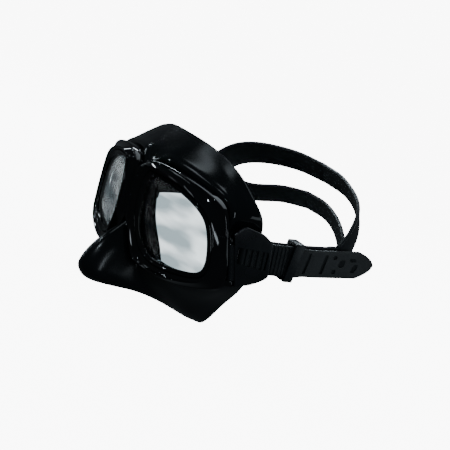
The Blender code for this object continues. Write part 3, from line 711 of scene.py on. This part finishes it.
def buckle(side, sign):
    """The wing: a plate over the roller and the strap, open where the strap's teeth show."""
    place = buckle_place(sign)
    stuff = MATERIALS["buckle"]
    knuckle = HINGE_HALF - LUG_LENGTH - 0.3
    body = pillow("buckle_body_" + side, rounded(BUCKLE_OUTLINE, 2.2), BUCKLE_IN_N, BUCKLE_OUT_N, 0.7, place,
                  stuff)
    half = STRAP_W / 2 + 0.5
    clear = BARREL_R + 0.3

    def cut(name, outline, low, high):
        return prism(name, outline, low, high, place, stuff)

    cuts = [
        cut("pocket", [(-9, STRAP_U - half), (40, STRAP_U - half), (40, STRAP_U + half), (-9, STRAP_U + half)],
            BUCKLE_IN_N - 3, SKIN_N),
        cut("under", [(-9, 14.0), (4.2, 14.0), (4.2, 17.4), (16, 17.4), (16, 26), (-9, 26)],
            BUCKLE_IN_N - 3, 0.4),
        cut("window", rounded([(3.0, 0.2), (20.6, -1.6), (20.9, 8.8), (2.2, 9.6)], 0.9), 0, 9),
        cut("front", [(clear - 20 * HINGE_LEAN, -20), (clear + 26 * HINGE_LEAN, 26), (-20, 26), (-20, -20)],
            -12, 12),
    ]
    combine(body, cuts, "DIFFERENCE")
    barrel = hinge_bar("barrel", sign, knuckle, BARREL_R, "buckle")
    web = prism("web", [(-knuckle * HINGE_LEAN, -knuckle), (3.6 - knuckle * HINGE_LEAN, -knuckle),
                        (3.6 + knuckle * HINGE_LEAN, knuckle), (knuckle * HINGE_LEAN, knuckle)],
                0.7, BARREL_R - 0.05, place, stuff)
    end = prism("end", [(-0.6, -knuckle), (6.5, -knuckle), (6.5, -knuckle + 4.6), (-0.6, -knuckle + 4.6)],
                -1.6, 1.7,
                lambda a, b, c: place(a + b * HINGE_LEAN, b, c), stuff)
    for added in (web, end, barrel):
        combine(body, [added], "UNION")
    body.data.shade_smooth()
    body.data.set_sharp_from_angle(angle=math.radians(38))
    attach(body, "buckle_" + side)
    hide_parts("buckle_" + side)


def round_pieces(side, sign):
    """The hinge pin, the grooved roller and its axle."""
    place = buckle_place(sign)
    reach = HINGE_HALF - 0.4
    end = 0.35 / (2 * reach)
    pin = lathe("hinge_pin_steel_" + side, place(-reach * HINGE_LEAN, -reach, 0),
                place(reach * HINGE_LEAN, reach, 0),
                [(0, PIN_R - 0.35), (0.3 * end, PIN_R - 0.1), (end, PIN_R), (1 - end, PIN_R),
                 (1 - 0.3 * end, PIN_R - 0.1),
                 (1, PIN_R - 0.35)], MATERIALS["steel"])
    axle = lathe("roller_axle_steel_" + side, place(ROLLER_D, -10.4, ROLLER_N),
                 place(ROLLER_D, 17.0, ROLLER_N),
                 [(0, AXLE_R - 0.3), (0.006, AXLE_R - 0.08), (0.014, AXLE_R), (0.986, AXLE_R),
                  (0.994, AXLE_R - 0.08),
                  (1, AXLE_R - 0.3)], MATERIALS["steel"])
    half = STRAP_W / 2
    grooves = 14
    profile = [(0, ROLLER_R - 0.35), (0.012, ROLLER_R - 0.1)]
    for k in range(grooves):
        t = 0.03 + 0.94 * k / grooves
        step = 0.94 / grooves
        profile += [(t, ROLLER_R), (t + 0.55 * step, ROLLER_R), (t + 0.65 * step, ROLLER_R - 0.16),
                    (t + 0.9 * step, ROLLER_R - 0.16)]
    profile += [(0.97, ROLLER_R), (0.988, ROLLER_R - 0.1), (1, ROLLER_R - 0.35)]
    roller = lathe("strap_roller_" + side, place(ROLLER_D, STRAP_U - half, ROLLER_N),
                   place(ROLLER_D, STRAP_U + half, ROLLER_N), profile, MATERIALS["buckle"])
    bore = lathe("roller_bore", place(ROLLER_D, STRAP_U - half - 2, ROLLER_N),
                 place(ROLLER_D, STRAP_U + half + 2, ROLLER_N), [(0, AXLE_R + 0.1), (1, AXLE_R + 0.1)],
                 MATERIALS["buckle"])
    combine(roller, [bore], "DIFFERENCE")
    for made, body, node in ((pin, "mask", "hinge_pin_"), (axle, "buckle_" + side, "roller_axle_"),
                             (roller, "roller_" + side, "roller_")):
        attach(made, body)
        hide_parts(node + side)


# ---------------------------------------------------------------- strap

def strap_section(half_width, half_thick, bead=0.0):
    """Half of the strap's cross section as (across, outward): rounded edges, with a low bead along each."""
    r = min(0.55, half_thick * 0.8)
    w, t = half_width, half_thick
    top = [(-w, 0.0), (-w, t - r), (-w + 0.3 * r, t - 0.3 * r), (-w + r, t + bead), (-w + r + 0.5, t + bead),
           (-w + r + 1.0, t), (0, t)]
    right = [(-a, b) for a, b in top[-2::-1]]
    upper = top + right
    lower = [(a, -b) for a, b in upper[-2:0:-1]]
    return np.array(upper + lower)


def sweep_rows(centres, sides, normals, sections):
    return [c + np.outer(s[:, 0], side) + np.outer(s[:, 1], normal)
            for c, side, normal, s in zip(centres, sides, normals, sections)]


# Where each set of teeth starts and ends, their pitch and height, and the share of it sunk into the strap,
# which lets the keeper slide over the second set.
TEETH = ((3.9, 22.6, 3.4, 0.95, 0.0), (23.4, 33.4, 2.3, 0.6, 0.55))


def tail_rows(place):
    """The outer layer, from the tail's tip forward to the roller, and the turn round the roller."""
    tail = evenly(TAIL_PATH, 560)[::-1]
    turn_r = ROLLER_R + ROLL_GAP + STRAP_T / 2
    angles = np.radians(np.linspace(90, 270, 60)[1:])
    turn = np.stack([ROLLER_D + turn_r * np.cos(angles), ROLLER_N + turn_r * np.sin(angles)], axis=1)
    path = np.concatenate([tail, turn])
    tangent = np.gradient(path, axis=0)
    tangent /= np.linalg.norm(tangent, axis=1)[:, None]
    base = place(0, 0, 0)
    across = place(0, 1, 0) - base
    along, outward_ = place(1, 0, 0) - base, place(0, 0, 1) - base
    centres = place(path[:, 0], np.full(len(path), STRAP_U), path[:, 1])
    normals = -tangent[:, 1:] * along + tangent[:, :1] * outward_
    normals *= np.sign(normals[:1] @ outward_)
    rows = []
    for i, (d, _) in enumerate(path):
        on_tail = i < len(tail)
        to_tip = np.hypot(*(path[i] - path[0]))
        round_tip = math.sqrt(min(max(to_tip / 12.0, 0.004), 1.0)) if on_tail else 1.0
        width = STRAP_W - (STRAP_W - TAIL_W) * smoothstep(d, 38, 46) if on_tail else STRAP_W
        half = max(width / 2 * round_tip, 0.5)
        section = strap_section(half, STRAP_T / 2)
        if on_tail:
            section = section + teeth(d, section, half)
        rows.append(centres[i] + np.outer(section[:, 0], across) + np.outer(section[:, 1], normals[i]))
    return rows


def teeth(d, section, half):
    """How far the outer face stands up at this distance: a rounded tooth every pitch, short of the edges."""
    rise = 0.0
    for low, high, pitch, height, sunk in TEETH:
        if low < d < high:
            tooth = float(smoothstep(math.sin(math.pi * ((d - low) / pitch % 1.0)), 0.25, 0.85))
            rise = height * (tooth - sunk)
    inside = (np.abs(section[:, 0]) < half - 0.9) & (section[:, 1] > 0)
    return np.stack([np.zeros(len(section)), np.where(inside, rise, 0.0)], axis=1)


def tail_marks(place):
    """Cutters for the tail: two slanted grooves, a few dimples and a bar near the tip. They mean nothing."""
    slope = 0.2

    def height(d):
        path = np.asarray(TAIL_PATH)
        return np.interp(d, path[:, 0], path[:, 1]) + STRAP_T / 2

    def bar(name, d, u, length, width, lean, deep):
        corners = [(-width / 2, -length / 2), (width / 2, -length / 2), (width / 2, length / 2),
                   (-width / 2, length / 2)]
        outline = [(d + a + lean * b, STRAP_U + u + b) for a, b in rounded(corners, width * 0.49)]
        top = height(d)
        return prism(name, outline, top - deep, top + 3, place, MATERIALS["strap"])

    marks = [bar("groove_1", 46.2, 0, 12.6, 1.7, slope, 1.0), bar("groove_2", 57.6, 0, 11.6, 2.2, slope, 1.0),
             bar("dimple_1", 64.6, 4.4, 2.4, 2.6, 0.0, 1.0), bar("dimple_2", 65.2, -4.2, 2.6, 2.8, 0.0, 1.0),
             bar("dimple_3", 70.0, 0.8, 4.6, 4.0, 0.2, 1.0), bar("bar_1", 77.6, 3.0, 2.2, 4.6, -0.5, 1.0),
             bar("bar_2", 79.4, -2.0, 5.0, 3.4, 0.4, 1.0)]
    return marks


def band_rows(start, centre_line, half_width, sign, start_dir):
    """One rear band from the split to the middle of the back of the head."""
    count = 150
    centres = evenly([start - 6.0 * start_dir, start] + [np.array(p, float) for p in centre_line], count)
    share = np.linspace(0, 1, count)[:, None]
    blend = smoothstep(share, 0.10, 0.72)
    side = ACROSS * (1 - blend) + np.array(half_width) / np.linalg.norm(half_width) * blend
    tangent = np.gradient(centres, axis=0)
    normal = np.cross(tangent, side)
    normal /= np.linalg.norm(normal, axis=1)[:, None]
    side = np.cross(normal, tangent)
    side /= np.linalg.norm(side, axis=1)[:, None]
    width = np.linalg.norm(half_width)
    widths = 4.4 + (width - 4.4) * smoothstep(share[:, 0], 0.0, 0.14)
    sections = [strap_section(w, STRAP_T / 2, 0.16) for w in widths]
    return np.array(sweep_rows(centres, side, normal, sections)) * (sign, 1, 1)


def strap_run(side, sign):
    """The inner layer behind the roller and its two rear bands, up to the middle of the back."""
    left = buckle_place(1.0)
    path = evenly(INNER_PATH, 120)
    tangent = np.gradient(path, axis=0)
    tangent /= np.linalg.norm(tangent, axis=1)[:, None]
    centres = left(path[:, 0], np.full(len(path), STRAP_U), path[:, 1])
    normals = -tangent[:, 1:] * STRAP_DIR + tangent[:, :1] * OUTWARD
    fade = smoothstep(path[:, 0], 60.0, 64.5)
    sections = [strap_section(STRAP_W / 2 - 1.6 * f, STRAP_T / 2) for f in fade]
    rows = np.array(sweep_rows(centres, [ACROSS] * len(path), normals, sections)) * (sign, 1, 1)
    run = loft("strap_run_" + side, rows, MATERIALS["strap"], caps=True)
    bands = []
    along = STRAP_DIR - 0.40 * OUTWARD
    along /= np.linalg.norm(along)
    lower = LOWER_BAND if sign > 0 else LOWER_BAND_RIGHT
    for name, shift, line, half in (("upper", 4.3, UPPER_BAND, UPPER_HALF_WIDTH),
                                    ("lower", -4.4, lower, LOWER_HALF_WIDTH)):
        start = left(STRAP_CUT_D + 4.0, STRAP_U + shift, -14.35 - 0.06 * np.sign(shift))
        bands.append(loft(name, band_rows(start, line, half, sign, along), MATERIALS["strap"], caps=True))
    combine(run, bands, "UNION")
    run.data.shade_smooth()
    run.data.set_sharp_from_angle(angle=math.radians(50))
    put = buckle_place(sign)
    bend_from, bend_to = world(put(44.0, STRAP_U, -9.0)), world(mirrored((66.0, 106.0, 78.0), sign))
    tuple(bend_from)
    tuple(bend_to)
    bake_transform(run)
    return run


def strap(side, sign):
    place = buckle_place(sign)
    tail = loft("strap_tail_" + side, tail_rows(place), MATERIALS["strap"], caps=True)
    combine(tail, tail_marks(place), "DIFFERENCE")
    tail.data.shade_smooth()
    tail.data.set_sharp_from_angle(angle=math.radians(50))
    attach(tail, "buckle_" + side)
    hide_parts("strap_side_" + side)
    return strap_run(side, sign)


def keeper(side, sign):
    """The loop that holds both layers together, with its outer face sloped as it is moulded."""
    place = buckle_place(sign)
    half_u = STRAP_W / 2 + 0.5
    lean = 0.16

    def at(a, b, c):
        return place(KEEPER_D + a + lean * b - KEEPER_SLOPE * c, STRAP_U + b, KEEPER_N + c + KEEPER_SLOPE * a)

    half = KEEPER_LENGTH / 2
    reach = half_u + KEEPER_WALL
    body = prism("keeper_loop_" + side, [(-half, -reach), (half, -reach), (half, reach), (-half, reach)],
                 -4.45 - KEEPER_WALL, 4.45 + KEEPER_WALL, at, MATERIALS["keeper"])
    hole = prism("hole", [(-half - 2, -half_u), (half + 2, -half_u), (half + 2, half_u), (-half - 2, half_u)],
                 -4.45, 4.45, at, MATERIALS["keeper"])
    combine(body, [hole], "DIFFERENCE")
    soften(body, 0.5, 3)
    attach(body, "keeper_" + side)
    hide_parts("strap_keeper_" + side)


# ---------------------------------------------------------------- stage, light and camera

VIEW_TARGET = np.array([20.0, 30.0, 55.0])
VIEW_BACK = np.array([0.7833, -0.5896, 0.1973])
VIEW_UP = np.array([-0.335, -0.133, 0.933])
VIEW_DISTANCE = 1300.0
VIEW_WIDTH = 263.0
FRAMING = (17.66, 2.79)
FLOOR_GLOW = 9.0
LIGHT_COLOUR = (0.80, 0.92, 1.0)
WORLD_STRENGTH = 0.05


def camera():
    right = np.cross(VIEW_UP, VIEW_BACK)
    eye = VIEW_TARGET + VIEW_DISTANCE * VIEW_BACK
    aim = VIEW_TARGET + FRAMING[0] * right + FRAMING[1] * VIEW_UP
    back = turned_only(eye - aim).normalized()
    side = turned_only(VIEW_UP).cross(back).normalized()
    up = back.cross(side)
    data = bpy.data.cameras.new("camera")
    data.sensor_width = 36.0
    data.lens = data.sensor_width * VIEW_DISTANCE / VIEW_WIDTH
    data.clip_end = 20.0
    cam = bpy.data.objects.new("camera", data)
    cam.matrix_world = Matrix.Translation(Vector(world(eye))) @ Matrix((side, up, back)).transposed().to_4x4()
    bpy.context.scene.collection.objects.link(cam)
    bpy.context.scene.camera = cam


def stage():
    """A white floor that curves up into a wall all round and glows like a light table.

    It is hidden from glossy and diffuse rays, so only the softboxes and the faint world light the mask.
    """
    n = Nodes("floor_white")
    fibre = n.noise(14, 4)
    n.link(n.tint(fibre, (0.90, 0.90, 0.90), (0.93, 0.93, 0.93)), "Base Color")
    n.set(Roughness=0.9, Emission_Color=(1, 1, 1, 1), Emission_Strength=FLOOR_GLOW)
    curve = [(0.02, 0.0), (1.3, 0.0), (2.6, 0.0), (3.1, 0.2), (3.4, 0.6), (3.5, 1.4), (3.5, 4.0)]
    profile = evenly(curve, 50)
    turns = np.arange(96) * math.tau / 96
    points = [(r * math.cos(t), r * math.sin(t), max(z, 0.0)) for r, z in profile for t in turns]
    faces = [tuple(reversed(f)) for f in grid_faces(len(profile), len(turns))] + [tuple(range(len(turns)))]
    mesh = bpy.data.meshes.new("floor")
    mesh.from_pydata(points, [], faces)
    mesh.shade_smooth()
    mesh.materials.append(n.material)
    floor = bpy.data.objects.new("floor", mesh)
    floor.visible_glossy = False
    floor.visible_diffuse = False
    bpy.context.scene.collection.objects.link(floor)


def softbox(name, place, size, brightness, up=(0.0, 0.0, 1.0), aim=(0.02, -0.03, 0.06)):
    """A soft light that shows this bright in a mirror, with its long side along up."""
    back = (Vector(place) - Vector(aim)).normalized()
    side = Vector(up).cross(back).normalized()
    data = bpy.data.lights.new(name, "AREA")
    data.shape = "RECTANGLE"
    data.size, data.size_y = size
    data.energy = brightness * math.pi * size[0] * size[1]
    data.color = LIGHT_COLOUR
    light = bpy.data.objects.new(name, data)
    light.matrix_world = (Matrix.Translation(Vector(place))
                          @ Matrix((side, back.cross(side), back)).transposed().to_4x4())
    bpy.context.scene.collection.objects.link(light)


def lights():
    studio = bpy.data.worlds.new("studio")
    studio.use_nodes = True
    background = studio.node_tree.nodes["Background"]
    background.inputs["Color"].default_value = (*LIGHT_COLOUR, 1)
    background.inputs["Strength"].default_value = WORLD_STRENGTH
    bpy.context.scene.world = studio
    softbox("overhead", (-0.35, 0.55, 1.45), (1.1, 0.8), 1.5)
    softbox("rim_strip", (-1.00, 0.30, 0.88), (0.07, 0.9), 26, up=(0.4, 0.9, 0.2))
    softbox("side_strip", (1.22, -0.46, 0.30), (0.10, 0.7), 7)
    softbox("left_strip", (-1.15, -0.45, 0.36), (0.06, 0.6), 9)
    softbox("window", (-0.29, -0.63, 1.08), (0.11, 0.42), 2.6, up=(0.18, -0.21, -0.09))
    softbox("small_window", (-0.08, -0.36, 1.23), (0.15, 0.20), 2.4)
    softbox("sparkle_left", (-0.62, -1.05, 0.95), (0.05, 0.05), 160)
    softbox("sparkle_right", (0.35, -1.15, 0.85), (0.05, 0.05), 120)
    softbox("behind", (0.5, 1.3, 0.9), (0.5, 0.5), 3.0)
    softbox("strap_fill", (1.25, 0.75, 0.22), (1.0, 0.42), 1.1)


def main():
    camera()
    stage()
    lights()
    front_pieces()
    skirt()
    for side, sign in SIDES:
        buckle(side, sign)
        round_pieces(side, sign)
        strap(side, sign)
        keeper(side, sign)
    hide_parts("strap_rear_band")


main()
